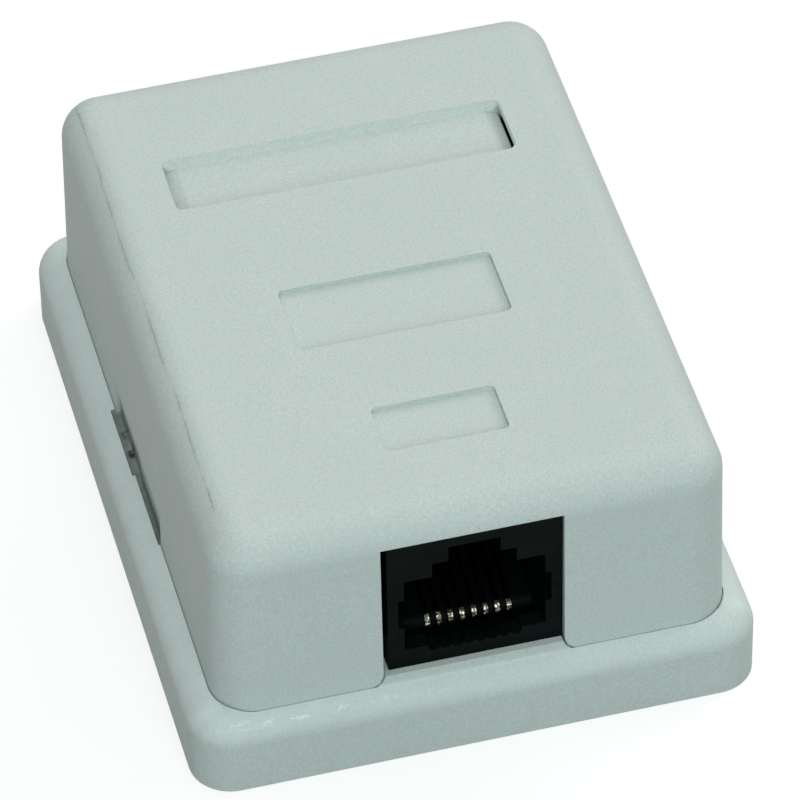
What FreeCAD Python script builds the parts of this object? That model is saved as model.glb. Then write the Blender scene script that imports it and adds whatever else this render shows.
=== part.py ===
import FreeCAD, Part
import math
import os
import re
import Sketcher

# Surface mount jack box: a shallow base tray that is screwed to a wall, a printed circuit
# board with one 8-way modular jack and two 4-way insulation displacement blocks, and a
# deep cover that pulls straight up off the base.
#
# Frame: origin at the bottom centre of the base, X across, the jack faces -Y, Z up.
# All lengths are in millimetres and all angles in degrees.

Vector = FreeCAD.Vector

# ---------------------------------------------------------------- driving dimensions

SIZES = {
    # base tray
    "base_width": 49.5,
    "base_depth": 64.5,
    "base_height": 7.75,
    "base_corner": 3.7,
    "shoulder_radius": 2.6,
    "skirt_wall": 2.0,
    "floor_thickness": 2.0,
    "web_thickness": 1.7,
    "seat_drop": 0.4,
    "seam_gap": 0.05,
    "seam_corner_gap": 0.25,
    "rim_gap": 0.2,
    "rim_wall": 1.3,
    "rim_height": 3.0,
    # cover shell
    "total_height": 26.0,
    "side_ledge": 2.325,
    "front_ledge": 1.615,
    "back_ledge": 1.935,
    "cover_corner": 3.8,
    "cover_draft": 0.3,
    "cover_edge": 3.3,
    "cover_wall": 1.8,
    # jack window in the cover and the lip that fills its foot
    "window_width": 15.75,
    "window_shift": -0.25,
    "window_headroom": 0.3,
    "window_foot_radius": 1.6,
    "lip_side_gap": 0.2,
    "lip_flare_angle": 60.0,
    # label recess with its two tab slots, and the two plain recesses
    "label_length": 30.5,
    "label_width": 6.6,
    "label_inset": 15.395,
    "label_depth": 0.8,
    "label_corner": 0.75,
    "label_slope": 0.5,
    "tab_ramp": 1.4,
    "tab_dip": 0.45,
    "tab_slot": 0.8,
    "tab_slot_length": 5.6,
    "tab_skin": 0.25,
    "middle_length": 18.7,
    "middle_width": 7.55,
    "middle_inset": 26.285,
    "front_length": 10.7,
    "front_width": 5.3,
    "front_inset": 11.435,
    "recess_depth": 0.5,
    "recess_corner": 0.5,
    # cable entries in the side walls, filled by break-out plates on the base
    "entry_ahead": 10.2,
    "entry_behind": 7.1,
    "entry_height": 3.75,
    "plate_gap": 0.1,
    "plate_split": 0.2,
    "plate_setback": 0.35,
    "thin_plate_setback": 0.45,
    "front_notch": 0.2,
    "back_notch": 0.45,
    "notch_depth": 0.5,
    "vent_width": 0.9,
    "vent_inset": 5.0,
    "vent_pitch": 2.4,
    "vent_setback": 0.15,
    "vent_low": 0.8,
    "vent_high": 0.5,
    # snap ridges
    "catch_length": 8.0,
    "catch_inset": 10.475,
    "catch_rise": 0.12,
    "catch_height": 0.8,
    "catch_room": 0.3,
    # circuit board
    "board_drop": 0.75,
    "board_thickness": 1.6,
    "board_width": 30.8,
    "board_clearance": 0.235,
    "board_length": 40.9,
    "post_radius": 2.4,
    "peg_radius": 1.0,
    "peg_rise": 1.0,
    "hole_gap": 0.1,
    "peg_across": 12.6,
    "peg_inset": 1.8,
    "screw_across": 12.0,
    "screw_inset": 5.6,
    # board screws
    "screw_radius": 1.1,
    "screw_length": 6.0,
    "screw_head_radius": 2.1,
    "screw_head_height": 1.5,
    "screw_head_bevel": 0.7,
    "screw_gap": 0.03,
    "cross_width": 0.6,
    "cross_length": 2.4,
    "cross_depth": 0.8,
    # wall fixing and cable
    "wall_hole_radius": 2.1,
    "wall_hole_spacing": 26.0,
    "wall_hole_inset": 9.115,
    "wall_boss_radius": 4.3,
    "wall_boss_rise": 1.2,
    "cable_hole_width": 13.0,
    "cable_hole_length": 8.0,
    "cable_hole_inset": 8.715,
    "cable_hole_corner": 2.0,
    "bridge_width": 7.0,
    "bridge_inset": 14.715,
    "bridge_length": 1.8,
    "bridge_height": 4.4,
    "bridge_leg": 1.3,
    # modular jack
    "jack_width": 15.1,
    "jack_headroom": 1.3,
    "jack_length": 18.0,
    "jack_setback": 0.6,
    "jack_back_wall": 1.2,
    "plug_depth": 12.0,
    "plug_width": 12.2,
    "plug_floor": 2.05,
    "plug_drop": 4.15,
    "wide_width": 13.25,
    "wide_low": 4.65,
    "wide_drop": 6.35,
    "step_width": 7.3,
    "step_drop": 2.65,
    "latch_width": 4.5,
    "latch_drop": 1.05,
    "jack_sill": 1.5,
    "jack_floor": 0.7,
    "scallop_radius": 0.5,
    "scallop_rise": 1.85,
    "jack_peg_radius": 1.6,
    "jack_peg_across": 5.7,
    "jack_peg_place": 8.9,
    "jack_peg_length": 2.4,
    # contact carrier and the spring contacts wrapped round its tongue
    "carrier_gap": 0.1,
    "carrier_side": 1.6,
    "tongue_front": 2.55,
    "tongue_low": 1.25,
    "tongue_high": 2.65,
    "tongue_nose": 0.67,
    "carrier_top": 7.2,
    "comb_depth": 1.2,
    "comb_width": 0.56,
    "contact_pitch": 1.016,
    "contact_size": 0.4,
    "contact_run": 1.0,
    "contact_bend": 0.95,
    "contact_nose": 0.25,
    "contact_rise": 17.0,
    "contact_reach": 9.5,
    "contact_corner": 0.6,
    "pin_row": 15.3,
    "pin_row_step": 2.54,
    "pin_below": 0.9,
    "pin_hole_radius": 0.45,
    # insulation displacement blocks and their forked contacts
    "block_across": 10.8,
    "block_inset": 13.2,
    "block_width": 7.4,
    "block_pitch": 4.4,
    "block_tooth": 3.1,
    "block_foot": 4.4,
    "block_height": 11.0,
    "tooth_bevel": 0.9,
    "tooth_slope": 1.8,
    "fork_width": 2.5,
    "fork_thickness": 0.4,
    "fork_room": 0.1,
    "fork_slit": 0.35,
    "fork_mouth": 1.12,
    "fork_mouth_depth": 0.7,
    "fork_slit_depth": 4.2,
    "fork_low": 2.4,
    "fork_top_drop": 1.0,
    "fork_pin": 0.6,
    # cover ribs that hold the jack down
    "rib_across": 4.0,
    "rib_thickness": 1.2,
    "rib_front": 2.6,
    "rib_length": 12.0,
    "rib_gap": 0.25,
}

# Levels and places that follow from the driving dimensions.
DERIVED = {
    "seat_level": "base_height - seat_drop",
    "rim_level": "seat_level + rim_height",
    "ceiling": "total_height - cover_wall",
    "cover_half": "base_width / 2 - side_ledge",
    "cover_front": "front_ledge - base_depth / 2",
    "cover_back": "base_depth / 2 - back_ledge",
    "inner_half": "cover_half - cover_wall",
    "inner_front": "cover_front + cover_wall",
    "inner_back": "cover_back - cover_wall",
    "inner_corner": "cover_corner - cover_wall",
    "rim_half": "inner_half - rim_gap",
    "rim_front": "inner_front + rim_gap",
    "rim_back": "inner_back - rim_gap",
    "rim_corner": "inner_corner - rim_gap",
    "tray_half": "rim_half - rim_wall",
    "tray_front": "rim_front + rim_wall",
    "tray_back": "rim_back - rim_wall",
    "tray_corner": "rim_corner - rim_wall / 2",
    "board_under": "base_height - board_drop",
    "board_top": "board_under + board_thickness",
    "board_front": "tray_front + board_clearance",
    "board_back": "board_front + board_length",
    "screw_place": "board_front + screw_inset",
    "peg_place": "board_back - peg_inset",
    "block_place": "board_back - block_inset",
    "entry_front": "block_place - entry_ahead",
    "entry_back": "block_place + entry_behind",
    "entry_level": "seat_level + entry_height",
    "plate_middle": "(entry_front + entry_back) / 2 + plate_split",
    "catch_level": "seat_level + rim_height / 2",
    "label_place": "cover_back - label_inset",
    "middle_place": "cover_front + middle_inset",
    "front_place": "cover_front + front_inset",
    "wall_hole_place": "cover_back - wall_hole_inset",
    "cable_hole_place": "cover_back - cable_hole_inset",
    "bridge_place": "cover_back - bridge_inset",
    "jack_front": "cover_front + jack_setback",
    "jack_back": "jack_front + jack_length",
    "jack_top": "ceiling - jack_headroom",
    "window_top": "jack_top + window_headroom",
    "lip_reach": "window_foot_radius + lip_side_gap",
    "lip_top_angle": "asin((seat_level + window_foot_radius - board_top) / lip_reach) / 1 deg",
    "carrier_half": "contact_pitch * 4 + carrier_side",
    "bend_place": "jack_front + tongue_front + contact_bend - contact_nose",
}


def expand(text):
    """Write derived names out and point each size at its spreadsheet cell."""
    def swap(match):
        word = match.group()
        if word in DERIVED:
            return "(" + expand(DERIVED[word]) + ")"
        if word in SIZES:
            return "sizes." + word
        return word
    return re.sub(r"[a-z][a-z0-9_]*", swap, str(text))


# ---------------------------------------------------------------- document and helpers

doc = FreeCAD.newDocument("surface_mount_jack_box")
sheet = doc.addObject("Spreadsheet::Sheet", "sizes")
for row, (word, number) in enumerate(SIZES.items(), start=1):
    sheet.set("A" + str(row), word)
    sheet.set("B" + str(row), str(number))
    sheet.setAlias("B" + str(row), word)
doc.recompute()


def value(text):
    """The number that an expression in sizes and derived names stands for."""
    found = sheet.evalExpression(expand(text))
    return float(getattr(found, "Value", found))


def bind(thing, field, text):
    """Drive one property of an object by an expression."""
    thing.setExpression(field, expand(text))


def new_body(label):
    body = doc.addObject("PartDesign::Body", label)
    body.Label = label
    return body


def origin_plane(body, role):
    return next(item for item in body.Origin.OriginFeatures if item.Role == role)


def new_sketch(body, name, plane, level):
    """A sketch on the body's XY, XZ or YZ plane, moved to a level along that plane's axis."""
    sketch = body.newObject("Sketcher::SketchObject", name)
    sketch.AttachmentSupport = (origin_plane(body, plane + "_Plane"), [""])
    sketch.MapMode = "FlatFace"
    sign = "-1" if plane == "XZ" else "1"
    bind(sketch, "AttachmentOffset.Base.z", sign + " * (" + str(level) + ")")
    return sketch


def limit(sketch, kind, geometry, end, name, text):
    """Hold one coordinate of a point of the sketch at an expression."""
    index = sketch.addConstraint(Sketcher.Constraint(kind, -1, 1, geometry, end, value(text)))
    sketch.renameConstraint(index, name)
    bind(sketch, "Constraints." + name, text)


def hold_radius(sketch, geometry, name, text):
    index = sketch.addConstraint(Sketcher.Constraint("Radius", geometry, value(text)))
    sketch.renameConstraint(index, name)
    bind(sketch, "Constraints." + name, text)


def outline(sketch, corners, tag="p"):
    """A closed outline of straight sides through the given corners."""
    points = [Vector(value(across), value(up), 0) for across, up in corners]
    first = sketch.GeometryCount
    for index, point in enumerate(points):
        following = points[(index + 1) % len(points)]
        sketch.addGeometry(Part.LineSegment(point, following), False)
    for index, (across, up) in enumerate(corners):
        here = first + index
        before = first + (index - 1) % len(corners)
        sketch.addConstraint(Sketcher.Constraint("Coincident", before, 2, here, 1))
        limit(sketch, "DistanceX", here, 1, tag + str(index) + "_across", across)
        limit(sketch, "DistanceY", here, 1, tag + str(index) + "_up", up)


def rectangle(sketch, left, right, low, high, tag="p"):
    outline(sketch, [(left, low), (right, low), (right, high), (left, high)], tag)


def rounded_rectangle(sketch, left, right, low, high, radius, tag="p"):
    """Four sides and four equal tangent corner arcs."""
    x0, x1, y0, y1, r = (value(text) for text in (left, right, low, high, radius))
    first = sketch.GeometryCount
    sides = [(x0 + r, y0, x1 - r, y0), (x1, y0 + r, x1, y1 - r),
             (x1 - r, y1, x0 + r, y1), (x0, y1 - r, x0, y0 + r)]
    for ax, ay, bx, by in sides:
        sketch.addGeometry(Part.LineSegment(Vector(ax, ay, 0), Vector(bx, by, 0)), False)
    centres = [(x1 - r, y0 + r), (x1 - r, y1 - r), (x0 + r, y1 - r), (x0 + r, y0 + r)]
    for quarter, (cx, cy) in enumerate(centres):
        start = math.radians(90 * quarter - 90)
        circle = Part.Circle(Vector(cx, cy, 0), Vector(0, 0, 1), r)
        sketch.addGeometry(Part.ArcOfCircle(circle, start, start + math.pi / 2), False)
    for quarter in range(4):
        arc = first + 4 + quarter
        following = first + (quarter + 1) % 4
        sketch.addConstraint(Sketcher.Constraint("Tangent", first + quarter, 2, arc, 1))
        sketch.addConstraint(Sketcher.Constraint("Tangent", arc, 2, following, 1))
        if quarter:
            sketch.addConstraint(Sketcher.Constraint("Equal", first + 4, arc))
    sketch.addConstraint(Sketcher.Constraint("Horizontal", first))
    sketch.addConstraint(Sketcher.Constraint("Vertical", first + 1))
    sketch.addConstraint(Sketcher.Constraint("Horizontal", first + 2))
    sketch.addConstraint(Sketcher.Constraint("Vertical", first + 3))
    limit(sketch, "DistanceY", first, 1, tag + "_low", low)
    limit(sketch, "DistanceX", first + 1, 1, tag + "_right", right)
    limit(sketch, "DistanceY", first + 2, 1, tag + "_high", high)
    limit(sketch, "DistanceX", first + 3, 1, tag + "_left", left)
    hold_radius(sketch, first + 4, tag + "_radius", radius)


def circles(sketch, places, radius):
    """Equal circles at the given places."""
    for index, (across, up) in enumerate(places):
        centre = Vector(value(across), value(up), 0)
        number = sketch.GeometryCount
        sketch.addGeometry(Part.Circle(centre, Vector(0, 0, 1), value(radius)), False)
        hold_radius(sketch, number, "c" + str(index) + "_radius", radius)
        limit(sketch, "DistanceX", number, 3, "c" + str(index) + "_across", across)
        limit(sketch, "DistanceY", number, 3, "c" + str(index) + "_up", up)


def octagons(sketch, places, radius):
    """Equal octagons at the given places, the radius measured to their flats."""
    part = radius + " * tan(22.5)"
    flat = [(radius, "-" + part), (radius, part), (part, radius), ("-" + part, radius),
            ("-" + radius, part), ("-" + radius, "-" + part), ("-" + part, "-" + radius),
            (part, "-" + radius)]
    for index, (across, up) in enumerate(places):
        outline(sketch, [(across + " + " + side, up + " + " + rise) for side, rise in flat],
                "o" + str(index) + "_")


def add(body, name, plane, start, end, draw, *details):
    """Pad a sketch from one level to a higher one along the plane's axis."""
    sketch = new_sketch(body, name + "_sketch", plane, end if plane == "XZ" else start)
    draw(sketch, *details)
    return extrude(body, "PartDesign::Pad", name, sketch, start, end)


def cut(body, name, plane, start, end, draw, *details):
    """Pocket a sketch between the same two levels."""
    sketch = new_sketch(body, name + "_sketch", plane, start if plane == "XZ" else end)
    draw(sketch, *details)
    return extrude(body, "PartDesign::Pocket", name, sketch, start, end)


def extrude(body, kind, name, sketch, start, end):
    feature = body.newObject(kind, name)
    feature.Profile = (sketch, [""])
    bind(feature, "Length", "(" + str(end) + ") - (" + str(start) + ")")
    body.Tip = feature
    return feature


def edges_where(feature, test):
    """Names of the feature's edges whose middle point and direction pass a test."""
    doc.recompute()
    names = []
    for index, edge in enumerate(feature.Shape.Edges, start=1):
        middle = edge.valueAt((edge.FirstParameter + edge.LastParameter) / 2)
        if test(edge.BoundBox, middle):
            names.append("Edge" + str(index))
    return names


def dress(body, kind, name, field, amount, test):
    """Fillet or chamfer the edges of the body's last feature that pass a test."""
    base = body.Tip
    names = edges_where(base, test)
    feature = body.newObject(kind, name)
    feature.Base = (base, names)
    bind(feature, field, amount)
    body.Tip = feature
    return feature


def fillet(body, name, radius, test):
    return dress(body, "PartDesign::Fillet", name, "Radius", radius, test)


def chamfer(body, name, size, test):
    return dress(body, "PartDesign::Chamfer", name, "Size", size, test)


def near(a, b):
    return abs(a - b) < 0.01


def mirrored(body, name, features, role):
    """Repeat features on the other side of one of the body's origin planes."""
    feature = body.newObject("PartDesign::Mirrored", name)
    feature.Originals = features
    feature.MirrorPlane = (origin_plane(body, role), [""])
    body.Tip = feature
    return feature


def row_of(body, name, features, axis, count, pitch):
    """Repeat features in a straight row along one of the body's origin axes."""
    feature = body.newObject("PartDesign::LinearPattern", name)
    feature.Originals = features
    feature.Direction = (origin_plane(body, axis + "_Axis"), [""])
    feature.Occurrences = count
    bind(feature, "Length", "(" + str(count - 1) + ") * (" + pitch + ")")
    body.Tip = feature
    return feature


# ---------------------------------------------------------------- base tray

def rim_ring(sketch):
    rounded_rectangle(sketch, "-rim_half", "rim_half", "rim_front", "rim_back", "rim_corner", "outer")
    rounded_rectangle(sketch, "-tray_half", "tray_half", "tray_front", "tray_back",
                      "tray_corner", "inner")


def skirt_channel(sketch):
    inside = ("base_width / 2 - skirt_wall", "base_depth / 2 - skirt_wall")
    rounded_rectangle(sketch, "-(" + inside[0] + ")", inside[0], "-(" + inside[1] + ")", inside[1],
                      "base_corner - skirt_wall", "outer")
    rounded_rectangle(sketch, "-rim_half", "rim_half", "rim_front", "rim_back", "rim_corner", "inner")


def build_base():
    """Tray with a hollow skirt, a locating rim, board posts, wall holes and cable ways."""
    body = new_body("base")

    # Skirt block with its rounded shoulder.
    add(body, "skirt", "XY", "0", "base_height", rounded_rectangle,
        "-base_width / 2", "base_width / 2", "-base_depth / 2", "base_depth / 2", "base_corner")
    fillet(body, "shoulder", "shoulder_radius", lambda box, mid: near(box.ZMin, value("base_height")))

    # Seat for the cover's edge, the tray inside it and the channel under the skirt.
    cut(body, "cover_seat", "XY", "seat_level", "base_height", rounded_rectangle,
        "-cover_half - seam_gap", "cover_half + seam_gap",
        "cover_front - seam_gap", "cover_back + seam_gap", "cover_corner - seam_corner_gap")
    cut(body, "tray", "XY", "floor_thickness", "base_height", rounded_rectangle,
        "-tray_half", "tray_half", "tray_front", "tray_back", "tray_corner")
    cut(body, "underside_channel", "XY", "0", "seat_level - web_thickness", skirt_channel)
    add(body, "rim", "XY", "seat_level", "rim_level", rim_ring)

    # Way for the jack through the rim, and the lip that fills the foot of the window.
    cut(body, "jack_way", "XY", "board_top", "rim_level", rectangle,
        "-jack_width / 2 - lip_side_gap", "jack_width / 2 + lip_side_gap",
        "rim_front - rim_gap / 2", "tray_front + rim_gap / 2")
    add(body, "window_lip", "XZ", "cover_front - seam_gap", "tray_front", outline, lip_corners())

    # Break-out plates in the side cable entries, with a shallow notch in the shoulder
    # along their foot. The back half is set deeper and has two small vents at its foot.
    front_plate = add(body, "front_plate", "YZ", "rim_half", "cover_half - plate_setback", rectangle,
                      "entry_front + plate_gap", "plate_middle",
                      "seat_level", "entry_level - plate_gap")
    back_plate = add(body, "back_plate", "YZ", "rim_half", "cover_half - thin_plate_setback",
                     rectangle, "plate_middle", "entry_back - plate_gap",
                     "seat_level", "entry_level - plate_gap")
    mirrored(body, "other_plates", [front_plate, back_plate], "YZ_Plane")
    front_notch = cut(body, "front_notch_cut", "XY", "seat_level - notch_depth", "base_height", rectangle,
                      "cover_half - plate_setback", "cover_half + front_notch",
                      "entry_front", "plate_middle")
    back_notch = cut(body, "back_notch_cut", "XY", "seat_level - notch_depth", "base_height", rectangle,
                     "cover_half - thin_plate_setback", "cover_half + back_notch",
                     "plate_middle", "entry_back")
    mirrored(body, "other_notches", [front_notch, back_notch], "YZ_Plane")
    for index in range(2):
        low = "entry_back - vent_inset - vent_width / 2 + vent_pitch * " + str(index)
        cut(body, "vent_" + str(index + 1), "YZ", "vent_setback - cover_half", "cover_half - vent_setback",
            rectangle, low, low + " + vent_width", "seat_level - vent_low", "seat_level + vent_high")

    # Snap ridges on the outside of the rim.
    catches = add(body, "catches", "YZ", "rim_half - rim_wall / 2", "rim_half + catch_rise", catch_pair,
                  "catch_length / 2", "catch_height / 2")
    mirrored(body, "other_catches", [catches], "YZ_Plane")

    # Posts under the board: two take screws and two carry locating pegs.
    screw_places = [("-screw_across", "screw_place"), ("screw_across", "screw_place")]
    peg_places = [("-peg_across", "peg_place"), ("peg_across", "peg_place")]
    post_foot = "floor_thickness / 2"
    add(body, "board_posts", "XY", post_foot, "board_under", octagons,
        screw_places + peg_places, "post_radius")
    add(body, "locating_pegs", "XY", post_foot, "board_top + peg_rise", octagons,
        peg_places, "peg_radius")
    cut(body, "screw_pilots", "XY", "board_under - screw_length", "board_under", octagons,
        screw_places, "(screw_radius + screw_gap)")

    # Wall screw holes in low bosses and the cable hole in the floor.
    wall_places = [("-wall_hole_spacing / 2", "wall_hole_place"),
                   ("wall_hole_spacing / 2", "wall_hole_place")]
    boss_top = "floor_thickness + wall_boss_rise"
    add(body, "wall_bosses", "XY", post_foot, boss_top, circles, wall_places, "wall_boss_radius")
    cut(body, "wall_holes", "XY", "0", boss_top, circles, wall_places, "wall_hole_radius")
    cut(body, "cable_hole", "XY", "0", "floor_thickness", rounded_rectangle,
        "-cable_hole_width / 2", "cable_hole_width / 2",
        "cable_hole_place - cable_hole_length / 2", "cable_hole_place + cable_hole_length / 2",
        "cable_hole_corner")

    # Bridge that a cable tie passes under.
    add(body, "tie_bridge", "XZ", "bridge_place - bridge_length / 2", "bridge_place + bridge_length / 2",
        outline, bridge_corners())
    return body


def lip_corners():
    """Front view of the lip at the window's foot, its sides flared round the cover's corners."""
    reach = "lip_reach"
    level = "seat_level + window_foot_radius"
    right = []
    for share in ("1", "0.5", "0"):
        turn = "(lip_top_angle + (lip_flare_angle - lip_top_angle) * " + share + ")"
        right.append((reach + " * cos" + turn, level + " - " + reach + " * sin" + turn))
    right = [(right[0][0], "seat_level")] + right
    edge = "(window_width / 2 + window_foot_radius)"
    corners = [("window_shift + " + edge + " - " + across, up) for across, up in right]
    return corners + [("window_shift - " + edge + " + " + across, up) for across, up in reversed(right)]


def catch_pair(sketch, half_length, half_height):
    """Outlines of the front and back catches on one side of the rim."""
    for tag, middle in (("front", "cover_front + catch_inset"), ("back", "cover_back - catch_inset")):
        rectangle(sketch, middle + " - " + half_length, middle + " + " + half_length,
                  "catch_level - " + half_height, "catch_level + " + half_height, tag)


def bridge_corners():
    """Front view of the cable tie bridge: two legs and the bar across them."""
    outside = "bridge_width / 2"
    inside = "(bridge_width / 2 - bridge_leg)"
    low = "floor_thickness / 2"
    top = "floor_thickness + bridge_height"
    under = top + " - bridge_leg"
    return [("-" + outside, low), ("-" + inside, low), ("-" + inside, under), (inside, under),
            (inside, low), (outside, low), (outside, top), ("-" + outside, top)]


# ---------------------------------------------------------------- cover shell

def build_cover():
    """Drafted deep shell with the jack window, side entries and the recesses in its top."""
    body = new_body("cover")

    # Block with drafted sides, rounded along its top edge and hollowed from below.
    draft = "atan(cover_draft / (total_height - seat_level))"
    block = add(body, "block", "XY", "seat_level", "total_height", rounded_rectangle,
                "-cover_half", "cover_half", "cover_front", "cover_back", "cover_corner")
    bind(block, "TaperAngle", "-" + draft)
    fillet(body, "top_edge", "cover_edge", lambda box, mid: near(box.ZMin, value("total_height")))
    hollow = cut(body, "hollow", "XY", "ceiling", "seat_level", rounded_rectangle,
                 "-inner_half", "inner_half", "inner_front", "inner_back", "inner_corner")
    bind(hollow, "Length", "ceiling - seat_level")
    hollow.Reversed = True
    chamfer(body, "ceiling_edge", "cover_edge - cover_wall", lambda box, mid: (
        near(box.ZMin, value("ceiling")) and near(box.ZMax, value("ceiling"))))

    # Jack window, open at the foot, with its two lower corners rounded outward.
    cut(body, "window", "XZ", "cover_front - cover_wall", "inner_front + cover_wall", rectangle,
        "window_shift - window_width / 2", "window_shift + window_width / 2",
        "seat_level - cover_wall", "window_top")
    fillet(body, "window_foot", "window_foot_radius", lambda box, mid: (
        near(box.ZMax, value("seat_level")) and near(box.XLength, 0)
        and mid.y < value("inner_front") and abs(mid.x) < value("window_width")))

    # Cable entries at the foot of both side walls.
    cut(body, "side_entries", "YZ", "-base_width / 2", "base_width / 2", rectangle,
        "entry_front", "entry_back", "seat_level - cover_wall", "entry_level")

    # Grooves for the snap ridges.
    cut(body, "catch_grooves", "YZ", "-inner_half - catch_room", "inner_half + catch_room", catch_pair,
        "(catch_length / 2 + catch_room)", "(catch_height / 2 + catch_room)")

    # Label recess with sloping sides and a ramp down to a tab slot under each end, and the
    # two plain recesses.
    label = recess(body, "label_recess", "label_length", "label_width", "label_place", "label_depth",
                   "label_corner")
    bind(label, "TaperAngle", "-atan(label_slope / label_depth)")
    ramp = cut(body, "tab_ramp_cut", "XZ", "label_place - tab_slot_length / 2",
               "label_place + tab_slot_length / 2",
               outline, [("label_length / 2 - tab_ramp", "total_height - label_depth"),
                         ("label_length / 2", "total_height - label_depth - tab_dip"),
                         ("label_length / 2", "total_height - label_depth")])
    slot = cut(body, "tab_slot_cut", "XY", "ceiling", "total_height - tab_skin", rectangle,
               "label_length / 2 - label_slope", "label_length / 2 + tab_slot",
               "label_place - tab_slot_length / 2", "label_place + tab_slot_length / 2")
    mirrored(body, "other_tab", [ramp, slot], "YZ_Plane")
    recess(body, "middle_recess", "middle_length", "middle_width", "middle_place", "recess_depth",
           "recess_corner")
    recess(body, "front_recess", "front_length", "front_width", "front_place", "recess_depth",
           "recess_corner")

    # Ribs under the ceiling that keep the jack down on its board.
    rib = add(body, "hold_down_rib", "XY", "jack_top + rib_gap", "ceiling", rectangle,
              "rib_across - rib_thickness / 2", "rib_across + rib_thickness / 2",
              "cover_front + rib_front", "cover_front + rib_front + rib_length")
    mirrored(body, "other_rib", [rib], "YZ_Plane")
    return body


def recess(body, name, length, width, place, depth, corner):
    """Shallow round-cornered recess in the top of the cover."""
    return cut(body, name, "XY", "total_height - " + depth, "total_height", rounded_rectangle,
               "-" + length + " / 2", length + " / 2",
               place + " - " + width + " / 2", place + " + " + width + " / 2", corner)


# ---------------------------------------------------------------- circuit board

def contact_place(index):
    """Place across the jack of contact 0 to 7, counted from the left."""
    return "contact_pitch * " + str(index - 3.5)


def pin_place(index):
    """Place along Y of the board pin of one spring contact: two staggered rows."""
    row = "jack_front + pin_row"
    return row if index % 2 == 0 else row + " - pin_row_step"


def fork_place(index):
    """Place along Y of forked contact 0 to 3 of a block, counted from the front."""
    return "block_place + block_pitch * " + str(index - 1.5)


def build_circuit_board():
    """Rectangular board with holes for screws, pegs and every contact pin."""
    body = new_body("circuit_board")
    add(body, "laminate", "XY", "board_under", "board_top", rectangle,
        "-board_width / 2", "board_width / 2", "board_front", "board_back")
    screws = [("-screw_across", "screw_place"), ("screw_across", "screw_place")]
    pegs = [("-peg_across", "peg_place"), ("peg_across", "peg_place")]
    jack_pegs = [("-jack_peg_across", "jack_front + jack_peg_place"),
                 ("jack_peg_across", "jack_front + jack_peg_place")]
    holes = [("screw_holes", screws, "(screw_radius + hole_gap)"),
             ("peg_holes", pegs, "(peg_radius + hole_gap)"),
             ("jack_peg_holes", jack_pegs, "(jack_peg_radius + hole_gap)")]
    for name, places, radius in holes:
        cut(body, name, "XY", "board_under", "board_top", octagons, places, radius)
    for index in range(2):
        name = "contact_hole_" + str(index + 1)
        hole = cut(body, name, "XY", "board_under", "board_top", octagons,
                   [(contact_place(index), pin_place(index))], "pin_hole_radius")
        row_of(body, name + "_row", [hole], "X", 4, "contact_pitch * 2")
    for side in ("-", ""):
        name = "fork_hole_" + ("left" if side else "right")
        hole = cut(body, name, "XY", "board_under", "board_top", octagons,
                   [(side + "block_across", fork_place(0))], "pin_hole_radius")
        row_of(body, name + "_row", [hole], "Y", 4, "block_pitch")
    return body


def build_board_screw(name, across):
    """Pan-head screw with a cross recess, standing in one of the two screw posts."""
    body = new_body(name)
    head_top = "board_top + screw_head_height"
    place = [(across, "screw_place")]
    add(body, name + "_shank", "XY", "board_top - screw_length", "board_top", circles,
        place, "screw_radius")
    add(body, name + "_head", "XY", "board_top", head_top, circles, place, "screw_head_radius")
    chamfer(body, name + "_pan", "screw_head_bevel",
            lambda box, mid: near(box.ZMin, value(head_top)))
    for turn, (wide, deep) in enumerate((("cross_length", "cross_width"), ("cross_width", "cross_length"))):
        cut(body, name + "_cross_" + str(turn + 1), "XY", head_top + " - cross_depth", head_top, rectangle,
            across + " - " + wide + " / 2", across + " + " + wide + " / 2",
            "screw_place - " + deep + " / 2", "screw_place + " + deep + " / 2")
    return body


# ---------------------------------------------------------------- modular jack

def plug_outline():
    """Front opening: main body, wider guide grooves, latch step and latch notch."""
    half = [("plug_width", "board_top + plug_floor"), ("plug_width", "board_top + wide_low"),
            ("wide_width", "board_top + wide_low"), ("wide_width", "jack_top - wide_drop"),
            ("plug_width", "jack_top - wide_drop"), ("plug_width", "jack_top - plug_drop"),
            ("step_width", "jack_top - plug_drop"), ("step_width", "jack_top - step_drop"),
            ("latch_width", "jack_top - step_drop"), ("latch_width", "jack_top - latch_drop")]
    right = [(width + " / 2", level) for width, level in half]
    left = [("-" + width + " / 2", level) for width, level in reversed(half)]
    return right + left


def build_jack_housing():
    """Moulded jack body: plug cavity in front, carrier chamber behind, pegs below."""
    body = new_body("jack_housing")
    chamber = "jack_front + plug_depth"
    add(body, "housing_block", "XY", "board_top", "jack_top", rectangle,
        "-jack_width / 2", "jack_width / 2", "jack_front", "jack_back")
    cut(body, "plug_cavity", "XZ", "jack_front", chamber, outline, plug_outline())
    cut(body, "contact_well", "XY", "board_top + jack_floor", "board_top + wide_low", rectangle,
        "-carrier_half - carrier_gap", "carrier_half + carrier_gap",
        "jack_front + jack_sill", chamber)
    scallop = cut(body, "scallop", "XZ", "jack_front", "jack_front + jack_sill", octagons,
                  [(contact_place(0), "board_top + scallop_rise")], "scallop_radius")
    row_of(body, "scallop_row", [scallop], "X", 8, "contact_pitch")
    cut(body, "carrier_chamber", "XY", "board_top", "board_top + carrier_top + carrier_gap", rectangle,
        "-carrier_half - carrier_gap", "carrier_half + carrier_gap",
        chamber + " - carrier_gap", "jack_back - jack_back_wall")
    add(body, "board_pegs", "XY", "board_top - jack_peg_length", "board_top", octagons,
        [("-jack_peg_across", "jack_front + jack_peg_place"),
         ("jack_peg_across", "jack_front + jack_peg_place")], "jack_peg_radius")
    return body


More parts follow.
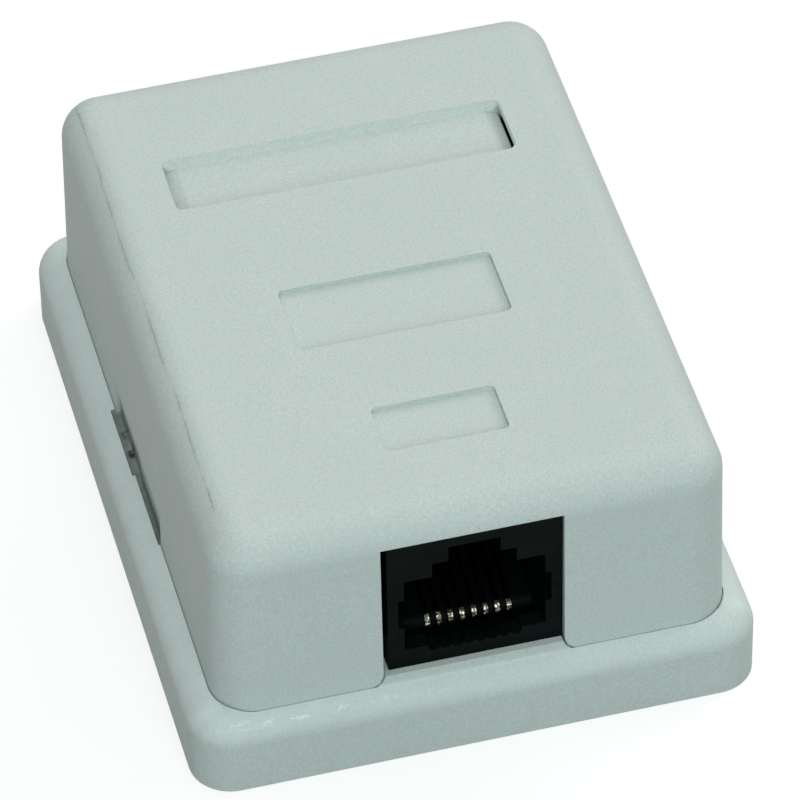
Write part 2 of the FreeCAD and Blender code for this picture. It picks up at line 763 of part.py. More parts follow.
def build_contact_carrier():
    """Insert that holds the spring contacts: a block with a foot and a forward tongue."""
    body = new_body("contact_carrier")
    front = "jack_front + plug_depth"
    back = "jack_back - jack_back_wall - carrier_gap"
    add(body, "carrier_profile", "YZ", "-carrier_half", "carrier_half", outline,
        [("jack_front + tongue_front", "board_top + tongue_low"), (front, "board_top + tongue_low"),
         (front, "board_top"), (back, "board_top"), (back, "board_top + carrier_top"),
         (front, "board_top + carrier_top"), (front, "board_top + tongue_high"),
         ("jack_front + tongue_front", "board_top + tongue_high")])
    fillet(body, "tongue_nose", "tongue_nose",
           lambda box, mid: near(box.YMax, value("jack_front + tongue_front")) and box.XLength > 1)
    for index in range(8):
        left = contact_place(index) + " - comb_width / 2"
        right = contact_place(index) + " + comb_width / 2"
        cut(body, "foot_slot_" + str(index + 1), "XY", "board_top", "board_top + tongue_low", rectangle,
            left, right, front, pin_place(index) + " + comb_width / 2")
        cut(body, "comb_slot_" + str(index + 1), "XY", "board_top + tongue_high", "board_top + carrier_top",
            rectangle, left, right, front, front + " + comb_depth")
    return body


def contact_path(sketch, index):
    """Centre line of one spring contact, from its board pin round the tongue to its tip."""
    pin_y = value(pin_place(index))
    run_z = value("board_top + contact_run")
    low = value("board_under - pin_below")
    r1 = value("contact_corner")
    r2 = value("contact_bend")
    bend_y = value("bend_place")
    rise = math.radians(value("contact_rise"))
    reach = value("contact_reach")
    axis = Vector(0, 0, 1)
    top = Vector(bend_y - r2 * math.sin(rise), run_z + r2 + r2 * math.cos(rise), 0)
    tip = top + Vector(math.cos(rise), math.sin(rise), 0) * reach
    sketch.addGeometry(Part.LineSegment(Vector(pin_y, low, 0), Vector(pin_y, run_z - r1, 0)), False)
    corner = Part.Circle(Vector(pin_y - r1, run_z - r1, 0), axis, r1)
    sketch.addGeometry(Part.ArcOfCircle(corner, 0, math.pi / 2), False)
    sketch.addGeometry(Part.LineSegment(Vector(pin_y - r1, run_z, 0), Vector(bend_y, run_z, 0)), False)
    bend = Part.Circle(Vector(bend_y, run_z + r2, 0), axis, r2)
    sketch.addGeometry(Part.ArcOfCircle(bend, math.pi / 2 + rise, 3 * math.pi / 2), False)
    sketch.addGeometry(Part.LineSegment(top, tip), False)
    for first, first_end, second, second_end in ((0, 2, 1, 1), (1, 2, 2, 1), (2, 2, 3, 2), (3, 1, 4, 1)):
        sketch.addConstraint(Sketcher.Constraint("Tangent", first, first_end, second, second_end))
    sketch.addConstraint(Sketcher.Constraint("Vertical", 0))
    sketch.addConstraint(Sketcher.Constraint("Horizontal", 2))
    hold_radius(sketch, 1, "corner", "contact_corner")
    hold_radius(sketch, 3, "bend", "contact_bend")
    limit(sketch, "DistanceX", 0, 1, "pin_along", pin_place(index))
    limit(sketch, "DistanceY", 0, 1, "pin_low", "board_under - pin_below")
    limit(sketch, "DistanceY", 2, 2, "run_level", "board_top + contact_run")
    limit(sketch, "DistanceX", 3, 3, "bend_along", "bend_place")
    limit(sketch, "DistanceY", 4, 2, "tip_level",
          "board_top + contact_run + contact_bend * (1 + cos(contact_rise))"
          " + contact_reach * sin(contact_rise)")
    limit(sketch, "DistanceX", 4, 2, "tip_along",
          "bend_place - contact_bend * sin(contact_rise) + contact_reach * cos(contact_rise)")


def build_spring_contact(index):
    """One square wire, swept along its path."""
    name = "spring_contact_" + str(index + 1)
    body = new_body(name)
    path = new_sketch(body, name + "_path", "YZ", contact_place(index))
    contact_path(path, index)
    section = new_sketch(body, name + "_section", "XY", "board_under - pin_below")
    rectangle(section, contact_place(index) + " - contact_size / 2",
              contact_place(index) + " + contact_size / 2",
              pin_place(index) + " - contact_size / 2", pin_place(index) + " + contact_size / 2")
    wire = body.newObject("PartDesign::AdditivePipe", name + "_wire")
    wire.Profile = (section, [""])
    wire.Spine = (path, [""])
    body.Tip = wire
    return body


# ---------------------------------------------------------------- displacement blocks

def build_block(name, side):
    """Four-way block: a foot with five bevelled teeth and a pocket for each fork."""
    body = new_body(name)
    across = "(" + side + "block_across)"
    left = across + " - block_width / 2"
    right = across + " + block_width / 2"
    foot_top = "board_top + block_foot"
    top = "board_top + block_height"
    add(body, name + "_foot", "XY", "board_top", foot_top, rectangle,
        left, right, fork_place(-0.5) + " - block_tooth / 2", fork_place(3.5) + " + block_tooth / 2")
    tooth = add(body, name + "_tooth", "XZ", fork_place(-0.5) + " - block_tooth / 2",
                fork_place(-0.5) + " + block_tooth / 2", outline,
                [(left, foot_top), (right, foot_top), (right, top + " - tooth_slope"),
                 (right + " - tooth_bevel", top), (left + " + tooth_bevel", top),
                 (left, top + " - tooth_slope")])
    row_of(body, name + "_teeth", [tooth], "Y", 5, "block_pitch")
    pocket = cut(body, name + "_fork_pocket", "XY", "board_top + fork_low - fork_room", top, rectangle,
                 across + " - fork_thickness / 2 - fork_room", across + " + fork_thickness / 2 + fork_room",
                 fork_place(0) + " - fork_width / 2 - fork_room",
                 fork_place(0) + " + fork_width / 2 + fork_room")
    row_of(body, name + "_fork_pockets", [pocket], "Y", 4, "block_pitch")
    hole = cut(body, name + "_pin_hole", "XY", "board_top", "board_top + fork_low", octagons,
               [(across, fork_place(0))], "pin_hole_radius")
    row_of(body, name + "_pin_holes", [hole], "Y", 4, "block_pitch")
    return body


def fork_outline(place):
    """Pin, shoulders, two prongs and the slit between them, in the YZ plane."""
    low = "board_top + fork_low"
    top = "board_top + block_height - fork_top_drop"
    half = [("fork_pin / 2", "board_under - pin_below"), ("fork_pin / 2", low),
            ("fork_width / 2", low), ("fork_width / 2", top), ("fork_mouth / 2", top),
            ("fork_slit / 2", top + " - fork_mouth_depth"), ("fork_slit / 2", top + " - fork_slit_depth")]
    right = [(place + " + " + across, level) for across, level in half]
    left = [(place + " - " + across, level) for across, level in reversed(half)]
    return right + left


def build_fork(name, side, index):
    """Flat forked contact that cuts through a wire's insulation."""
    body = new_body(name)
    across = side + "block_across"
    add(body, name + "_blade", "YZ", across + " - fork_thickness / 2", across + " + fork_thickness / 2",
        outline, fork_outline(fork_place(index)))
    return body


# ---------------------------------------------------------------- whole box

def check_and_write():
    """Recompute, refuse any failed object, and write each sub-part's own STEP file."""
    doc.recompute()
    for item in doc.Objects:
        if "Invalid" in item.State or "Error" in item.State:
            raise RuntimeError(item.Name + " failed: " + str(item.State))
    os.makedirs("parts", exist_ok=True)
    for body in bodies:
        if body.Shape.isNull() or not body.Shape.isValid():
            raise RuntimeError(body.Label + " has no valid shape")
        body.Shape.exportStep("parts/" + body.Label + ".step")
        print(body.Label, round(body.Shape.Volume, 2), len(body.Shape.Solids))


bodies = [build_base(), build_cover(), build_circuit_board(), build_jack_housing(),
          build_contact_carrier()]
bodies += [build_board_screw("board_screw_left", "-screw_across"),
           build_board_screw("board_screw_right", "screw_across")]
bodies += [build_spring_contact(index) for index in range(8)]
for side_name, side_sign in (("left", "-"), ("right", "")):
    bodies.append(build_block("wire_block_" + side_name, side_sign))
    for way in range(4):
        fork_name = "wire_fork_" + side_name + "_" + str(way + 1)
        bodies.append(build_fork(fork_name, side_sign, way))
check_and_write()
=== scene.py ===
import math

import bmesh
import bpy
from mathutils import Matrix, Vector


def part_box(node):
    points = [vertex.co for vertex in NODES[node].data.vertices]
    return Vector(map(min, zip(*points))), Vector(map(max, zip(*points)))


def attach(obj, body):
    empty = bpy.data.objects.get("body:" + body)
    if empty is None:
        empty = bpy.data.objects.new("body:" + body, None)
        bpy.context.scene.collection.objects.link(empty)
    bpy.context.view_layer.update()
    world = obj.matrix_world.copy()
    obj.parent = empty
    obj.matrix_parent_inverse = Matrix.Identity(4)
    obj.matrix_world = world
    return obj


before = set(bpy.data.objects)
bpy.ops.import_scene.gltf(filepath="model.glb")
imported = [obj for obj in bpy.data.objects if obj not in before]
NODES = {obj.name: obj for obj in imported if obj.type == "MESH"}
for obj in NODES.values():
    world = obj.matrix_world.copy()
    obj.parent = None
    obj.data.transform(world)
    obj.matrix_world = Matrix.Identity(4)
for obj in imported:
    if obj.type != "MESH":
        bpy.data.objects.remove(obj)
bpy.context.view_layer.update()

# Surface mount jack box. Metres, origin at the bottom centre of the base, X across,
# the jack faces -Y, Z up. MM turns the millimetres written here into metres.

MM = 0.001

# Camera: degrees, then millimetres from the middle of the object, then the lens.
CAMERA_AZIMUTH, CAMERA_ELEVATION, CAMERA_ROLL = -13.9087, 44.1053, -1.2127
CAMERA_DISTANCE, CAMERA_SLIDE, CAMERA_RISE = 561.791, 1.3119, -0.1057
CAMERA_TARGET_HEIGHT = 10
CAMERA_LENS, CAMERA_SENSOR = 290.138, 36

# Wear and painted light on the shell, in millimetres. The scuff line is real wear; the shoulder band
# and flecks are painted light, the entries and vents painted shade.
# An entry is the middle and half size of a box that is mirrored in X, and a vent is its place along Y
# with how dark its painted shade is.
SCUFF_INSET = 20.62
SHOULDER_LOW, SHOULDER_FULL, SHOULDER_TOP = 5.0, 6.3, 7.8
ENTRIES = (((22.1, -5.17, 8.93), (0.52, 4.43, 2.2)), ((22.23, 3.48, 8.93), (0.64, 4.23, 2.2)))
VENTS = ((2.7, 0.88), (5.1, 0.5))
VENT_ACROSS, VENT_UP, VENT_HALF = 21.1, 7.2, (1.33, 0.46, 0.75)

# Pieces beyond the CAD nodes, in millimetres.
LABEL_MIDDLE, LABEL_HALF = 14.92, 2.79
RAMP_SECTION = ((13.85, 25.19), (13.95, 25.171), (15.1, 24.803),
                (15.1, 24.4), (14.85, 24.4), (14.4, 24.7))
FORK_ROWS = (-6.0, -1.6, 2.8, 7.2)
BLOCK_ACROSS = 10.8
JACK_ROW = -16.0
TRACE_PITCH, TRACE_WIDTH, TRACE_SPREAD, TRACE_RISE = 1.3, 0.55, 1.2, 0.04
LAND_INNER, LAND_OUTER, LAND_RISE = 1.5, 2.7, 0.03
COPPER_SINK = 0.01

# Studio, in metres and watts: name, place, disk size, power and tint of each lamp.
FLOOR_REACH, FLOOR_DROP, FLOOR_GLOW = 6.0, 0.02, 0.7
HORIZON = (0.1, 0.11, 0.11)
ZENITH = (0.42, 0.42, 0.42)
LAMP_TARGET = (0, 0, 0.012)
NEUTRAL, COOL = (1.0, 0.985, 0.965), (0.88, 1.0, 1.01)
LAMPS = (("overhead", (-0.06, -0.02, 1.12), 0.6, 2.3, NEUTRAL),
         ("right", (0.82, 0.42, 0.62), 0.7, 3.9, NEUTRAL),
         ("back", (0.05, 0.98, 0.58), 0.8, 2.0, NEUTRAL),
         ("front", (-0.12, -0.98, 0.56), 0.9, 5.9, COOL))


# ---------------------------------------------------------------- camera

def make_camera():
    """Long lens seen from the front, a little to the left and from well above."""
    azimuth = math.radians(CAMERA_AZIMUTH)
    elevation = math.radians(CAMERA_ELEVATION)
    roll = math.radians(CAMERA_ROLL)
    back = Vector((math.sin(azimuth) * math.cos(elevation),
                   -math.cos(azimuth) * math.cos(elevation), math.sin(elevation)))
    level = (-back).cross(Vector((0, 0, 1))).normalized()
    upright = level.cross(-back)
    right = level * math.cos(roll) + upright * math.sin(roll)
    up = upright * math.cos(roll) - level * math.sin(roll)
    place = Vector((0, 0, CAMERA_TARGET_HEIGHT * MM)) + back * CAMERA_DISTANCE * MM
    place += right * CAMERA_SLIDE * MM - up * CAMERA_RISE * MM
    data = bpy.data.cameras.new("camera")
    data.lens = CAMERA_LENS
    data.sensor_width = CAMERA_SENSOR
    data.clip_start = 0.01
    data.clip_end = 20
    camera = bpy.data.objects.new("camera", data)
    camera.matrix_world = Matrix((
        (right.x, up.x, back.x, place.x),
        (right.y, up.y, back.y, place.y),
        (right.z, up.z, back.z, place.z),
        (0, 0, 0, 1)))
    bpy.context.scene.collection.objects.link(camera)
    bpy.context.scene.camera = camera


# ---------------------------------------------------------------- node helpers

class Tree:
    """A short way to write a material's node tree."""

    def __init__(self, name):
        self.material = bpy.data.materials.new(name)
        self.material.use_nodes = True
        self.tree = self.material.node_tree
        self.tree.nodes.clear()
        self.out = self.node("ShaderNodeOutputMaterial")
        self.where = None

    def node(self, kind, **fields):
        made = self.tree.nodes.new(kind)
        for field, number in fields.items():
            setattr(made, field, number)
        return made

    def link(self, source, target):
        if isinstance(source, bpy.types.NodeSocket):
            self.tree.links.new(source, target)
        else:
            target.default_value = source

    def place(self):
        """Object coordinates: the row frame at rest, and it rides with the piece."""
        if self.where is None:
            self.where = self.node("ShaderNodeTexCoord").outputs["Object"]
        return self.where

    def noise(self, size, detail=2.0, rough=0.5, stretch=(1, 1, 1)):
        """Noise from 0 to 1 whose grains are about size millimetres across."""
        mapping = self.node("ShaderNodeMapping")
        self.link(self.place(), mapping.inputs["Vector"])
        mapping.inputs["Scale"].default_value = [s / (size * MM) for s in stretch]
        noise = self.node("ShaderNodeTexNoise")
        self.link(mapping.outputs["Vector"], noise.inputs["Vector"])
        noise.inputs["Scale"].default_value = 1
        noise.inputs["Detail"].default_value = detail
        noise.inputs["Roughness"].default_value = rough
        return noise.outputs["Fac"]

    def math(self, operation, *terms):
        """One step of arithmetic on sockets or plain numbers."""
        node = self.node("ShaderNodeMath", operation=operation)
        for index, term in enumerate(terms):
            self.link(term, node.inputs[index])
        return node.outputs[0]

    def times(self, first, *others):
        """The product of two or more sockets or plain numbers."""
        for other in others:
            first = self.math("MULTIPLY", first, other)
        return first

    def span(self, source, low, high, to_low=0.0, to_high=1.0):
        """Map a value from one range to another, held at both ends."""
        node = self.node("ShaderNodeMapRange", clamp=True, interpolation_type="SMOOTHSTEP")
        self.link(source, node.inputs["Value"])
        ends = {"From Min": low, "From Max": high, "To Min": to_low, "To Max": to_high}
        for name, number in ends.items():
            node.inputs[name].default_value = number
        return node.outputs["Result"]

    def mix(self, share, first, second):
        """Blend two colours."""
        node = self.node("ShaderNodeMix", data_type="RGBA", clamp_factor=True)
        self.link(share, node.inputs[0])
        for colour, target in ((first, node.inputs[6]), (second, node.inputs[7])):
            self.link(colour if isinstance(colour, bpy.types.NodeSocket) else (*colour, 1), target)
        return node.outputs[2]

    def axes(self):
        """The three object coordinates, in metres."""
        split = self.node("ShaderNodeSeparateXYZ")
        self.link(self.place(), split.inputs[0])
        return split.outputs

    def relief(self, height, depth, strength=1.0, normal=None):
        """Bump from a height value, depth in millimetres."""
        bump = self.node("ShaderNodeBump")
        bump.inputs["Distance"].default_value = depth * MM
        bump.inputs["Strength"].default_value = strength
        self.link(height, bump.inputs["Height"])
        if normal is not None:
            self.link(normal, bump.inputs["Normal"])
        return bump.outputs["Normal"]

    def soft_edge(self, radius):
        """Normal that rounds sharp edges by a small radius in millimetres."""
        bevel = self.node("ShaderNodeBevel", samples=6)
        bevel.inputs["Radius"].default_value = radius * MM
        return bevel.outputs["Normal"]

    def surface(self, **sockets):
        """Finish the material: one Principled shader with the given sockets set or linked."""
        shader = self.node("ShaderNodeBsdfPrincipled")
        for name, thing in sockets.items():
            self.link(thing, shader.inputs[name.replace("_", " ")])
        self.link(shader.outputs[0], self.out.inputs["Surface"])
        return self.material


def linear(red, green, blue):
    """Display colour, 0 to 255, as the linear colour that shaders take."""
    def one(number):
        share = number / 255
        return share / 12.92 if share <= 0.04045 else ((share + 0.055) / 1.055) ** 2.4
    return (one(red), one(green), one(blue))


# ---------------------------------------------------------------- materials

def shell_plastic(name, wear_and_painted_light):
    """Cool white ABS with a low sheen, a fine moulded grain, faint dust specks, and the marks passed
    in: a real scuff line on the cover, painted light and shade on the base.
    """
    tree = Tree(name)
    cloud = tree.span(tree.noise(14, 3), 0.3, 0.7)
    speck = tree.span(tree.noise(0.22, 2, 0.7), 0.3, 0.7)
    warm = tree.span(tree.noise(0.36, 2, 0.6), 0.35, 0.65)
    base = tree.mix(cloud, linear(203, 217, 212), linear(208, 221, 217))
    tint = tree.mix(speck, base, linear(189, 204, 200))
    tint = tree.mix(tree.times(warm, 0.4), tint, linear(205, 206, 202))
    dust = tree.span(tree.noise(0.9, 4, 0.75), 0.7, 0.78)
    tint = tree.mix(tree.times(dust, 0.35), tint, linear(168, 186, 184))
    # Real wear on the cover; painted light and shade on the base.
    tint = wear_and_painted_light(tree, tint)
    rough = tree.span(tree.noise(0.5, 2), 0.3, 0.7, 0.52, 0.64)
    grain = tree.relief(tree.noise(0.25, 2, 0.6), 0.014, 0.4, tree.soft_edge(0.06))
    return tree.surface(Base_Color=tint, Roughness=rough, Normal=grain, Specular_IOR_Level=0.3)


def base_painted_light(tree, colour):
    """All the painted light and shade of the base: the lifted shoulder with its highlight flecks, and
    the shaded side entries.
    """
    return entry_painted_shade(tree, shoulder_painted_light(tree, colour))


def shoulder_painted_light(tree, colour):
    """Painted light: a paler band round the base's shoulder, where it lies in shade, with painted
    highlight flecks on its front crest.
    """
    across, along, up = tree.axes()
    band = tree.times(tree.span(up, SHOULDER_LOW * MM, SHOULDER_FULL * MM),
                      tree.span(up, 7.76 * MM, SHOULDER_TOP * MM, 1, 0))
    outside = tree.math("MAXIMUM", tree.span(tree.math("ABSOLUTE", across), 21.5 * MM, 22 * MM),
                        tree.span(tree.math("ABSOLUTE", along), 29.6 * MM, 30.1 * MM))
    painted_lift = tree.times(tree.span(tree.noise(3, 2), 0.3, 0.7, 0.33, 0.43),
                      tree.span(along, -30.4 * MM, -29.4 * MM, 0.5, 1))
    # Painted light: the shaded shoulder band is lifted paler.
    colour = tree.mix(tree.times(band, outside, painted_lift), colour, linear(234, 249, 247))
    crest = tree.times(tree.span(up, 6.55 * MM, 6.8 * MM), tree.span(up, 7.05 * MM, 7.3 * MM, 1, 0))
    front = tree.times(tree.span(along, -30.9 * MM, -30.4 * MM, 1, 0),
                       tree.span(across, -14 * MM, 0, 1, 0))
    painted_glint = tree.span(tree.noise(0.9, 4, 0.7, (0.5, 1, 1)), 0.56, 0.64)
    # Painted highlight: pale flecks along the front crest.
    return tree.mix(tree.times(crest, front, painted_glint, 0.5), colour, linear(252, 252, 248))


def box_mask(tree, middle, half, soft):
    """1 inside a box in mm, mirrored in x, and 0 outside it, over a soft border."""
    across, along, up = tree.axes()
    mask = 1.0
    for place, centre, size in zip((tree.math("ABSOLUTE", across), along, up), middle, half):
        off = tree.math("ABSOLUTE", tree.math("SUBTRACT", place, centre * MM))
        inside = tree.span(off, (size - soft / 2) * MM, (size + soft / 2) * MM, 1, 0)
        mask = tree.times(mask, inside)
    return mask


def entry_painted_shade(tree, colour):
    """Painted shade in the side entries' shoulder notches and on their plates, darker towards the
    bottom, and painted near-black shade in the vents.
    """
    low = tree.span(tree.axes()[2], 7.6 * MM, 9.6 * MM, 1, 0.25)
    patchy = tree.times(low, tree.span(tree.noise(1.4, 2, 0.5), 0.3, 0.7, 0.7, 0.9))
    for middle, half in ENTRIES:
        painted_shade = tree.times(box_mask(tree, middle, half, 0.06), patchy)
        # Painted shade: the notches and plates are darkened where the recess lies in shade.
        colour = tree.mix(painted_shade, colour, linear(122, 132, 129))
    for along, depth in VENTS:
        vent = box_mask(tree, (VENT_ACROSS, along, VENT_UP), VENT_HALF, 0.24)
        # Painted shade: the vents are painted near black where the holes lie in shade.
        colour = tree.mix(tree.times(vent, depth), colour, linear(22, 28, 27))
    return colour


def wander(tree, size, detail, rough, stretch, reach):
    """Noise that swings evenly about zero by half of reach."""
    return tree.times(tree.math("SUBTRACT", tree.noise(size, detail, rough, stretch), 0.5), reach)


def scuff_line(tree, colour):
    """One fine wandering rub line along the top left edge, with short breaks."""
    across, along, up = tree.axes()
    lean = tree.math("ADD", tree.times(across, 1 / MM), SCUFF_INSET)
    slow = wander(tree, 9, 1, 0.5, (0.1, 1, 0.1), 0.9)
    quick = wander(tree, 0.9, 2, 0.6, (0.3, 1, 0.3), 0.16)
    off = tree.math("ABSOLUTE", tree.math("ADD", lean, tree.math("ADD", slow, quick)))
    line = tree.span(off, 0.02, 0.14, 1, 0)
    halo = tree.span(off, 0.05, 0.5, 0.22, 0)
    faint = tree.span(tree.noise(3.5, 3, 0.6, (0.3, 1, 0.3)), 0.36, 0.56, 0.15, 1.0)
    fine = tree.span(tree.noise(0.3, 2, 0.7), 0.25, 0.6, 0.35, 1.0)
    high = tree.times(tree.span(up, 23.2 * MM, 23.6 * MM),
                      tree.span(along, -24.9 * MM, -24.0 * MM))
    mark = tree.times(tree.math("MAXIMUM", line, halo), faint, fine)
    return tree.mix(tree.times(mark, high, 0.5), colour, linear(112, 128, 130))


def jack_plastic():
    """Black moulding with a slight haze and faint flow marks."""
    tree = Tree("jack_plastic")
    haze = tree.span(tree.noise(4, 3), 0.3, 0.7)
    tint = tree.mix(haze, linear(8, 15, 14), linear(12, 20, 19))
    rough = tree.span(tree.noise(1.2, 3), 0.3, 0.7, 0.42, 0.58)
    grain = tree.relief(tree.noise(0.3, 2), 0.01, 0.25, tree.soft_edge(0.06))
    return tree.surface(Base_Color=tint, Roughness=rough, Normal=grain, Specular_IOR_Level=0.03)


def gold():
    """Thinly gold plated spring wire, dulled in patches, with drawn marks along its length."""
    tree = Tree("contact_gold")
    marks = tree.noise(0.12, 2, 0.5, (1, 0.08, 1))
    tint = tree.mix(tree.span(marks, 0.3, 0.7), (0.46, 0.42, 0.32), (0.58, 0.55, 0.45))
    dull = tree.span(tree.noise(0.3, 3, 0.6), 0.38, 0.5)
    tint = tree.mix(dull, tint, (0.07, 0.062, 0.046))
    rough = tree.span(tree.noise(0.4, 2), 0.3, 0.7, 0.12, 0.2)
    return tree.surface(Base_Color=tint, Metallic=1.0, Roughness=rough,
                        Normal=tree.relief(marks, 0.004, 0.3))


def laminate():
    """Green solder resist over woven glass laminate."""
    tree = Tree("board_laminate")
    weave = tree.node("ShaderNodeTexBrick", offset=0.5)
    mapping = tree.node("ShaderNodeMapping")
    tree.link(tree.place(), mapping.inputs["Vector"])
    mapping.inputs["Scale"].default_value = (1 / (0.8 * MM),) * 3
    tree.link(mapping.outputs["Vector"], weave.inputs["Vector"])
    weave.inputs["Scale"].default_value = 1
    weave.inputs["Mortar Size"].default_value = 0.08
    weave.inputs["Mortar Smooth"].default_value = 1
    cloud = tree.span(tree.noise(5, 3), 0.3, 0.7)
    tint = tree.mix(cloud, (0.012, 0.105, 0.045), (0.02, 0.15, 0.065))
    tint = tree.mix(tree.times(weave.outputs["Fac"], 0.3), tint, (0.05, 0.2, 0.1))
    rough = tree.span(tree.noise(1.5, 2), 0.3, 0.7, 0.28, 0.42)
    height = tree.math("ADD", weave.outputs["Fac"], tree.noise(0.4, 2))
    return tree.surface(Base_Color=tint, Roughness=rough, Normal=tree.relief(height, 0.01, 0.3),
                        Coat_Weight=0.4)


def block_plastic():
    """Natural white moulding with a faint warm mottle."""
    tree = Tree("block_plastic")
    mottle = tree.span(tree.noise(3, 3), 0.3, 0.7)
    tint = tree.mix(mottle, linear(214, 214, 205), linear(226, 225, 216))
    rough = tree.span(tree.noise(0.6, 2), 0.3, 0.7, 0.36, 0.5)
    grain = tree.relief(tree.noise(0.25, 2), 0.012, 0.3, tree.soft_edge(0.12))
    return tree.surface(Base_Color=tint, Roughness=rough, Normal=grain)


def tinned():
    """Tin plated bronze with punching marks."""
    tree = Tree("fork_metal")
    marks = tree.noise(0.15, 3, 0.5, (1, 1, 0.1))
    tint = tree.mix(tree.span(marks, 0.3, 0.7), (0.62, 0.61, 0.58), (0.78, 0.77, 0.74))
    rough = tree.span(tree.noise(0.5, 2), 0.3, 0.7, 0.24, 0.4)
    return tree.surface(Base_Color=tint, Metallic=1.0, Roughness=rough,
                        Normal=tree.relief(marks, 0.005, 0.3))


def zinc():
    """Zinc plated steel, lightly turned."""
    tree = Tree("screw_steel")
    marks = tree.noise(0.2, 3, 0.6)
    tint = tree.mix(tree.span(marks, 0.3, 0.7), (0.5, 0.5, 0.5), (0.66, 0.66, 0.65))
    rough = tree.span(tree.noise(0.6, 2), 0.3, 0.7, 0.26, 0.42)
    return tree.surface(Base_Color=tint, Metallic=1.0, Roughness=rough,
                        Normal=tree.relief(marks, 0.006, 0.3))


def trace_mask():
    """Solder resist over copper tracks: a lighter green with a faint ripple."""
    tree = Tree("board_trace")
    ripple = tree.noise(0.6, 3)
    tint = tree.mix(tree.span(ripple, 0.3, 0.7), (0.03, 0.2, 0.085), (0.045, 0.26, 0.11))
    rough = tree.span(tree.noise(0.9, 2), 0.3, 0.7, 0.26, 0.38)
    return tree.surface(Base_Color=tint, Roughness=rough, Normal=tree.relief(ripple, 0.01, 0.3),
                        Coat_Weight=0.4)


def dress_nodes():
    """Give every CAD node its finished material, by the start of its name."""
    black = jack_plastic()
    finishes = {"cover": shell_plastic("shell_plastic_cover", scuff_line),
                "base": shell_plastic("shell_plastic_base", base_painted_light),
                "circuit_board": laminate(), "spring_contact": gold(), "wire_fork": tinned(),
                "board_screw": zinc(), "wire_block": block_plastic(),
                "jack_housing": black, "contact_carrier": black}
    for name, thing in NODES.items():
        finish = next(finishes[stem] for stem in finishes if name.startswith(stem))
        for slot in thing.material_slots:
            slot.material = finish
    return finishes


# ---------------------------------------------------------------- pieces beyond the CAD nodes

def new_piece(name, shapes, material, body):
    """One object from closed prisms, each a list of lower and a list of upper points in mm."""
    work = bmesh.new()
    for lower, upper in shapes:
        ends = [[work.verts.new(Vector(point) * MM) for point in points]
                for points in (lower, upper)]
        count = len(lower)
        for index in range(count):
            after = (index + 1) % count
            work.faces.new((ends[0][index], ends[0][after], ends[1][after], ends[1][index]))
        work.faces.new(ends[0])
        work.faces.new(ends[1])
    bmesh.ops.recalc_face_normals(work, faces=work.faces)
    mesh = bpy.data.meshes.new(name)
    work.to_mesh(mesh)
    work.free()
    mesh.materials.append(material)
    piece = bpy.data.objects.new(name, mesh)
    bpy.context.scene.collection.objects.link(piece)
    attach(piece, body)
    return piece


def make_label_ramps(material):
    """Smooth foot of the ramp at each end of the label recess, up to its tab slot."""
    low, high = LABEL_MIDDLE - LABEL_HALF, LABEL_MIDDLE + LABEL_HALF
    for side, name in ((-1, "label_ramp_left"), (1, "label_ramp_right")):
        section = [(side * across, up) for across, up in RAMP_SECTION]
        new_piece(name, [([(across, low, up) for across, up in section],
                          [(across, high, up) for across, up in section])], material, "cover_body")


def prism(flat, foot, top):
    """The lower and upper points of an upright prism on a flat outline."""
    return [(x, y, foot) for x, y in flat], [(x, y, top) for x, y in flat]


def strip(points, width, foot, top):
    """Prisms along a flat run of points, each a little longer than its leg so that they meet."""
    made = []
    for (ax, ay), (bx, by) in zip(points, points[1:]):
        length = math.hypot(bx - ax, by - ay)
        px, py = (ay - by) / length * width / 2, (bx - ax) / length * width / 2
        ex, ey = (bx - ax) / length * width / 4, (by - ay) / length * width / 4
        made.append(prism([(ax - ex + px, ay - ey + py), (bx + ex + px, by + ey + py),
                           (bx + ex - px, by + ey - py), (ax - ex - px, ay - ey - py)], foot, top))
    return made


def make_traces(material):
    """Eight tracks from the jack's pins to the forks of the two wire blocks."""
    board_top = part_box("circuit_board")[1][2] / MM
    runs = []
    for side in (-1, 1):
        for index, along in enumerate(FORK_ROWS):
            start = side * (TRACE_PITCH * (len(FORK_ROWS) - index) - TRACE_PITCH / 2)
            turn = BLOCK_ACROSS - TRACE_SPREAD - abs(start)
            runs += strip([(start, JACK_ROW), (start, along - turn),
                           (side * (BLOCK_ACROSS - TRACE_SPREAD), along),
                           (side * BLOCK_ACROSS, along)],
                          TRACE_WIDTH, board_top - COPPER_SINK, board_top + TRACE_RISE)
    new_piece("board_traces", runs, material, "base_body")


def ring(centre, inner, outer, foot, top, count=40):
    """Wedges that close to a flat ring."""
    made = []
    for index in range(count):
        turns = [2 * math.pi * (index + step) / count for step in (0, 1)]
        corners = [(inner, turns[0]), (outer, turns[0]), (outer, turns[1]), (inner, turns[1])]
        made.append(prism([(centre[0] + reach * math.cos(turn), centre[1] + reach * math.sin(turn))
                           for reach, turn in corners], foot, top))
    return made


def make_screw_lands(material):
    """Tinned lands on the board under the two screw heads."""
    board_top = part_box("circuit_board")[1][2] / MM
    rings = []
    for name in ("board_screw_left", "board_screw_right"):
        low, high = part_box(name)
        centre = [(low[axis] + high[axis]) / 2 / MM for axis in (0, 1)]
        rings += ring(centre, LAND_INNER, LAND_OUTER,
                      board_top - COPPER_SINK, board_top + LAND_RISE)
    new_piece("screw_lands", rings, material, "base_body")


# ---------------------------------------------------------------- floor, world and lamps

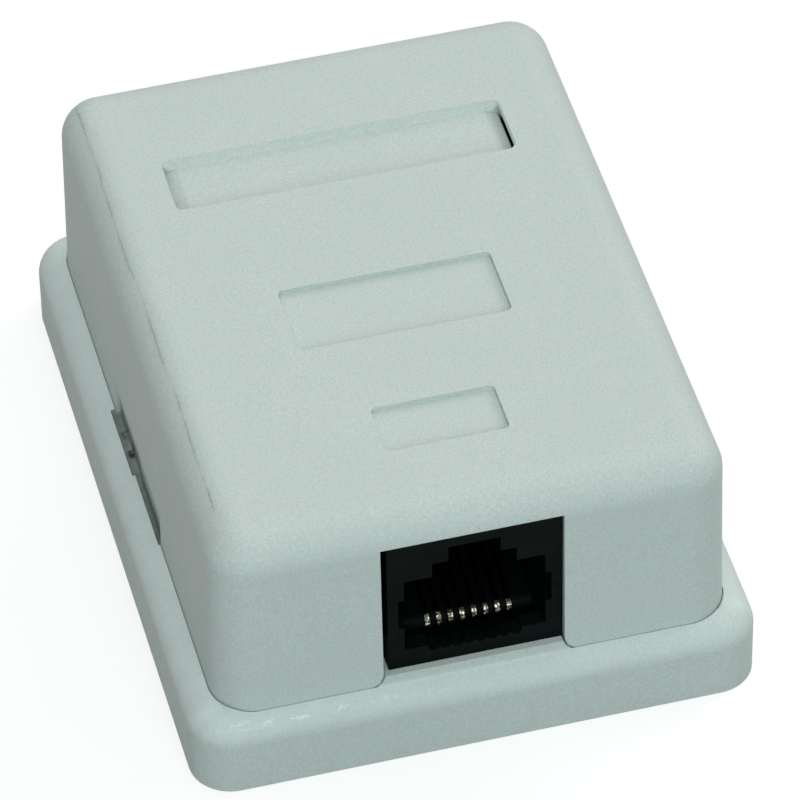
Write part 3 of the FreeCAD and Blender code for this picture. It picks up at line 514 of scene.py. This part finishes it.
def make_floor():
    """Pale floor. The camera sees it near white, with the object's shadow left in."""
    tree = Tree("floor")
    speck = tree.span(tree.noise(40, 3), 0.3, 0.7)
    tint = tree.mix(speck, (0.37, 0.375, 0.375), (0.39, 0.395, 0.395))
    matt = tree.node("ShaderNodeBsdfDiffuse")
    tree.link(tint, matt.inputs["Color"])
    path = tree.node("ShaderNodeLightPath")
    seen = tree.math("MAXIMUM", path.outputs["Is Camera Ray"], path.outputs["Is Glossy Ray"])
    seen = tree.math("MAXIMUM", seen, path.outputs["Is Transmission Ray"])
    glow = tree.node("ShaderNodeEmission")
    tree.link(tree.times(seen, FLOOR_GLOW), glow.inputs["Strength"])
    both = tree.node("ShaderNodeAddShader")
    tree.link(matt.outputs[0], both.inputs[0])
    tree.link(glow.outputs[0], both.inputs[1])
    tree.link(both.outputs[0], tree.out.inputs["Surface"])
    mesh = bpy.data.meshes.new("floor")
    reach, low = FLOOR_REACH, -FLOOR_DROP * MM
    corners = [(-reach, -reach, low), (reach, -reach, low), (reach, reach, low), (-reach, reach, low)]
    mesh.from_pydata(corners, [], [(0, 1, 2, 3)])
    mesh.materials.append(tree.material)
    floor = bpy.data.objects.new("floor", mesh)
    bpy.context.scene.collection.objects.link(floor)


def make_world():
    """A grey sky that is darker towards the horizon."""
    world = bpy.data.worlds.new("studio")
    world.use_nodes = True
    bpy.context.scene.world = world
    nodes, links = world.node_tree.nodes, world.node_tree.links
    split = nodes.new("ShaderNodeSeparateXYZ")
    links.new(nodes.new("ShaderNodeTexCoord").outputs["Generated"], split.inputs[0])
    sky = nodes.new("ShaderNodeValToRGB")
    links.new(split.outputs["Z"], sky.inputs["Fac"])
    for stop, tint in zip(sky.color_ramp.elements, (HORIZON, ZENITH)):
        stop.color = (*tint, 1)
    links.new(sky.outputs["Color"], nodes["Background"].inputs["Color"])


def make_lamp(name, place, size, power, tint):
    """A round area lamp that looks at the object."""
    data = bpy.data.lights.new(name, "AREA")
    data.shape = "DISK"
    data.size = size
    data.energy = power
    data.color = tint
    thing = bpy.data.objects.new(name, data)
    thing.location = place
    thing.rotation_euler = (Vector(place) - Vector(LAMP_TARGET)).to_track_quat("Z", "Y").to_euler()
    bpy.context.scene.collection.objects.link(thing)


make_camera()
make_world()
make_floor()
for settings in LAMPS:
    make_lamp(*settings)
finishes = dress_nodes()
make_label_ramps(finishes["cover"])
make_traces(trace_mask())
make_screw_lands(finishes["wire_fork"])

view = bpy.context.scene.view_settings
view.view_transform = "Standard"
